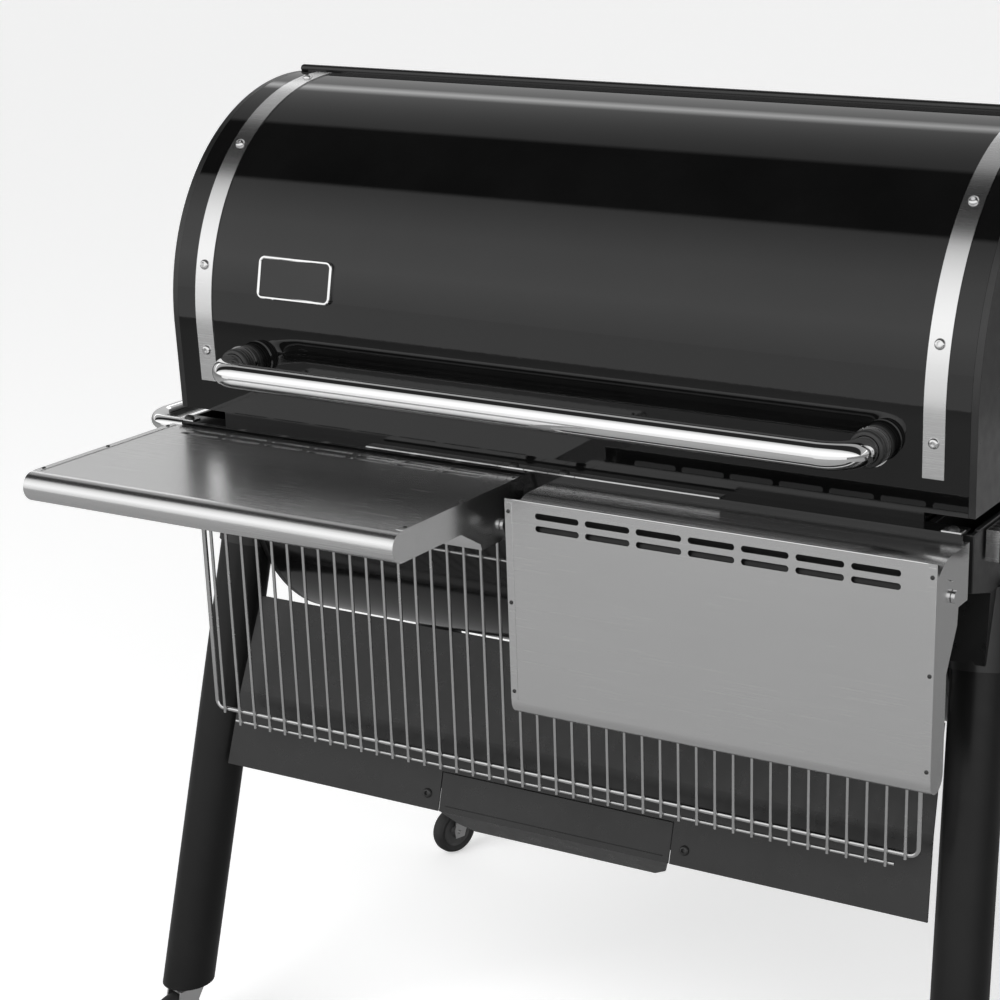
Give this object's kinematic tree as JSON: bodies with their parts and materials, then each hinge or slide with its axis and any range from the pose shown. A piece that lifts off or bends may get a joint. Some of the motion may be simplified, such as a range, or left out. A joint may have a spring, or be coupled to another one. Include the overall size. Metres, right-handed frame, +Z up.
{
  "type": "pellet grill on a cart",
  "caption": "Barrel-lid wood-pellet grill and smoker on a splayed-leg caster cart, with fold-down front shelves, wire guard, rear hopper and ash drawer.",
  "frame": {"origin": "on the floor, at the centre of the whole object's footprint box", "axes": "+X along the barrel towards the side table, +Y towards the hopper at the back, +Z up; the front is -Y"},
  "size_m": [1.398, 0.9594, 1.23],
  "materials": {
    "gloss_enamel": "gloss",
    "cast_black": "satin",
    "brushed_steel": "brushed",
    "bright_fasteners": "polished",
    "polished_chrome": "polished",
    "ribbed_plastic": "matte",
    "badge_metal": "satin",
    "rail_black": "gloss",
    "cookbox_enamel": "gloss",
    "grate_iron": "satin",
    "rack_wire": "polished",
    "plain_steel": "satin",
    "motor_grey": "satin",
    "hopper_black": "satin",
    "skirt_black": "satin",
    "dark_bolts": "satin",
    "foil_tray": "satin",
    "leg_black": "satin",
    "caster_zinc": "satin",
    "caster_tread": "matte",
    "knob_metal": "satin"
  },
  "bodies": {
    "cart": {"rear_hood": "cast_black", "lid_hinge_pins": "bright_fasteners", "cookbox_shell": "cookbox_enamel", "cookbox_end_left": "cast_black", "cookbox_end_right": "cast_black", "ledge_plate": "brushed_steel", "warming_rack": "rack_wire", "deflector_bars": "plain_steel", "burn_pot": "plain_steel", "auger_tube": "plain_steel", "auger_motor": "motor_grey", "hopper": "hopper_black", "hopper_hinge_pin": "bright_fasteners", "drawer_rails": "skirt_black", "power_inlet": "ribbed_plastic", "skirt_panel": "skirt_black", "body_bolts": "dark_bolts", "shelf_bracket_left": "brushed_steel", "shelf_bracket_right": "brushed_steel", "shelf_pins": "bright_fasteners", "wire_guard": "rack_wire", "leg_front_left": "leg_black", "leg_front_right": "leg_black", "leg_rear_left": "leg_black", "leg_rear_right": "leg_black", "leg_sockets_left": "cast_black", "leg_sockets_right": "cast_black", "side_handle": "polished_chrome", "side_table": "brushed_steel", "controller": "ribbed_plastic"},
    "lid": {"lid_shell": "gloss_enamel", "lid_end_left": "cast_black", "lid_end_right": "cast_black", "lid_band_left": "brushed_steel", "lid_band_right": "brushed_steel", "band_screws": "bright_fasteners", "lid_handle_tube": "polished_chrome", "handle_boss_left": "ribbed_plastic", "handle_boss_right": "ribbed_plastic", "handle_rings": "polished_chrome", "lid_badge": "badge_metal", "lid_ridge_rail": "rail_black"},
    "grate_left": {"cooking_grate_left": "grate_iron"},
    "grate_right": {"cooking_grate_right": "grate_iron"},
    "auger_screw": {"auger": "plain_steel"},
    "hopper_cover": {"hopper_lid": "hopper_black"},
    "drawer": {"ash_drawer": "skirt_black"},
    "pan": {"drip_pan": "foil_tray"},
    "left_shelf": {"shelf_left": "brushed_steel"},
    "right_shelf": {"shelf_right": "brushed_steel"},
    "knob": {"control_knob": "knob_metal"},
    "button": {"power_button": "knob_metal"},
    "fork_front_left": {"caster_fork_front_left": "caster_zinc"},
    "wheel_front_left": {"caster_wheel_front_left": "caster_tread"},
    "fork_front_right": {"caster_fork_front_right": "caster_zinc"},
    "wheel_front_right": {"caster_wheel_front_right": "caster_tread"},
    "fork_rear_left": {"caster_fork_rear_left": "caster_zinc"},
    "wheel_rear_left": {"caster_wheel_rear_left": "caster_tread"},
    "fork_rear_right": {"caster_fork_rear_right": "caster_zinc"},
    "wheel_rear_right": {"caster_wheel_rear_right": "caster_tread"}
  },
  "joints": [
    {"name": "lid_hinge", "type": "hinge", "parent": "cart", "child": "lid", "pos_m": [-0.097, 0.25696, 1.11414], "axis": [-1, 0, 0], "range_deg": [0, 62]},
    {"name": "left_shelf_fold", "type": "hinge", "parent": "cart", "child": "left_shelf", "pos_m": [-0.3635, -0.27425, 0.7845], "axis": [1, 0, 0], "range_deg": [0, 90]},
    {"name": "right_shelf_fold", "type": "hinge", "parent": "cart", "child": "right_shelf", "pos_m": [0.1695, -0.27425, 0.7845], "axis": [-1, 0, 0], "range_deg": [0, 90]},
    {"name": "drawer_slide", "type": "slide", "parent": "cart", "child": "drawer", "axis": [0, -1, 0], "range_m": [0, 0.275]},
    {"name": "pan_lift", "type": "slide", "parent": "drawer", "child": "pan", "axis": [0, 0, 1], "range_m": [0, 0.05]},
    {"name": "left_grate_lift", "type": "slide", "parent": "cart", "child": "grate_left", "axis": [0, 0, 1], "range_m": [0, 0.06]},
    {"name": "right_grate_lift", "type": "slide", "parent": "cart", "child": "grate_right", "axis": [0, 0, 1], "range_m": [0, 0.06]},
    {"name": "auger_turn", "type": "hinge", "parent": "cart", "child": "auger_screw", "pos_m": [-0.097, 0.25425, 0.62], "axis": [0, 1, 0], "continuous": true},
    {"name": "hopper_lid_hinge", "type": "hinge", "parent": "cart", "child": "hopper_cover", "pos_m": [-0.097, 0.47625, 0.989], "axis": [-1, 0, 0], "range_deg": [0, 95]},
    {"name": "knob_turn", "type": "hinge", "parent": "cart", "child": "knob", "pos_m": [0.567, -0.18275, 0.812], "axis": [0, -1, 0], "range_deg": [0, 270]},
    {"name": "button_press", "type": "slide", "parent": "cart", "child": "button", "axis": [0, 1, 0], "range_m": [0, 0.002], "stiffness_N_per_m": 300},
    {"name": "swivel_front_left", "type": "hinge", "parent": "cart", "child": "fork_front_left", "pos_m": [-0.63046, -0.26945, 0.086], "axis": [0, 0, 1], "continuous": true},
    {"name": "roll_front_left", "type": "hinge", "parent": "fork_front_left", "child": "wheel_front_left", "pos_m": [-0.63726, -0.29037, 0.036], "axis": [-0.9511, 0.309, 0], "continuous": true},
    {"name": "swivel_front_right", "type": "hinge", "parent": "cart", "child": "fork_front_right", "pos_m": [0.43646, -0.26945, 0.086], "axis": [0, 0, 1], "continuous": true},
    {"name": "roll_front_right", "type": "hinge", "parent": "fork_front_right", "child": "wheel_front_right", "pos_m": [0.42966, -0.29037, 0.036], "axis": [-0.9511, 0.309, 0], "continuous": true},
    {"name": "swivel_rear_left", "type": "hinge", "parent": "cart", "child": "fork_rear_left", "pos_m": [-0.63046, 0.37795, 0.086], "axis": [0, 0, 1], "continuous": true},
    {"name": "roll_rear_left", "type": "hinge", "parent": "fork_rear_left", "child": "wheel_rear_left", "pos_m": [-0.63726, 0.35702, 0.036], "axis": [-0.9511, 0.309, 0], "continuous": true},
    {"name": "swivel_rear_right", "type": "hinge", "parent": "cart", "child": "fork_rear_right", "pos_m": [0.43646, 0.37795, 0.086], "axis": [0, 0, 1], "continuous": true},
    {"name": "roll_rear_right", "type": "hinge", "parent": "fork_rear_right", "child": "wheel_rear_right", "pos_m": [0.42966, 0.35702, 0.036], "axis": [-0.9511, 0.309, 0], "continuous": true}
  ]
}
